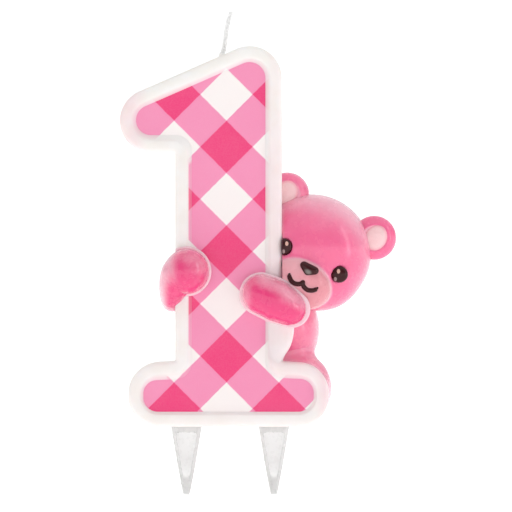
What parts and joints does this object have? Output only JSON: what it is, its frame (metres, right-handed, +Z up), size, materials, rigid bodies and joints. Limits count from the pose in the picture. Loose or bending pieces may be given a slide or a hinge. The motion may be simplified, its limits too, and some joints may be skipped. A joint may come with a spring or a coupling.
{
  "type": "number birthday candle",
  "caption": "Number one birthday candle in ivory wax with a pink gingham face, hugged by a small wax bear, with a cotton wick and plastic cake picks.",
  "frame": {"origin": "middle of the numeral's flat underside, where the candle sits on the cake", "axes": "+Z up along the stem, -Y towards the printed front, +X to the viewer's right, the bear's side"},
  "size_m": [0.0555, 0.0257, 0.0977],
  "materials": {
    "wax_ivory": "cast ivory paraffin wax, satin, slightly translucent",
    "print_gingham": "pink and white diagonal gingham printed on wax, satin",
    "wax_pink": "pink wax with a darker airbrushed centre, satin to glossy",
    "wax_deep_pink": "deep pink wax, glossy",
    "wax_pale_pink": "pale pink wax, satin",
    "paint_black": "thick black-brown paint, glossy",
    "wick_cotton": "braided cotton stiffened with wax",
    "pick_plastic": "moulded natural polypropylene, milky and slightly translucent"
  },
  "bodies": {
    "candle": {"numeral_body": "wax_ivory", "gingham_panel": "print_gingham", "wick": "wick_cotton", "bear_head": "wax_pink", "bear_muzzle": "wax_pale_pink", "bear_nose": "paint_black", "bear_mouth": "paint_black", "bear_eye_left": "paint_black", "bear_eye_right": "paint_black", "bear_ear_left": "wax_pink", "bear_ear_right": "wax_pink", "bear_ear_pad_left": "wax_pale_pink", "bear_ear_pad_right": "wax_pale_pink", "bear_torso": "wax_pink", "bear_leg_left": "wax_pink", "bear_leg_right": "wax_pink", "bear_arm_left": "wax_deep_pink", "bear_arm_right": "wax_deep_pink"},
    "pick_left": {"pick_left": "pick_plastic"},
    "pick_right": {"pick_right": "pick_plastic"}
  },
  "joints": [
    {"name": "pick_left_pull", "type": "slide", "parent": "candle", "child": "pick_left", "axis": [0, 0, -1], "range_m": [0, 0.01]},
    {"name": "pick_right_pull", "type": "slide", "parent": "candle", "child": "pick_right", "axis": [0, 0, -1], "range_m": [0, 0.01]}
  ]
}
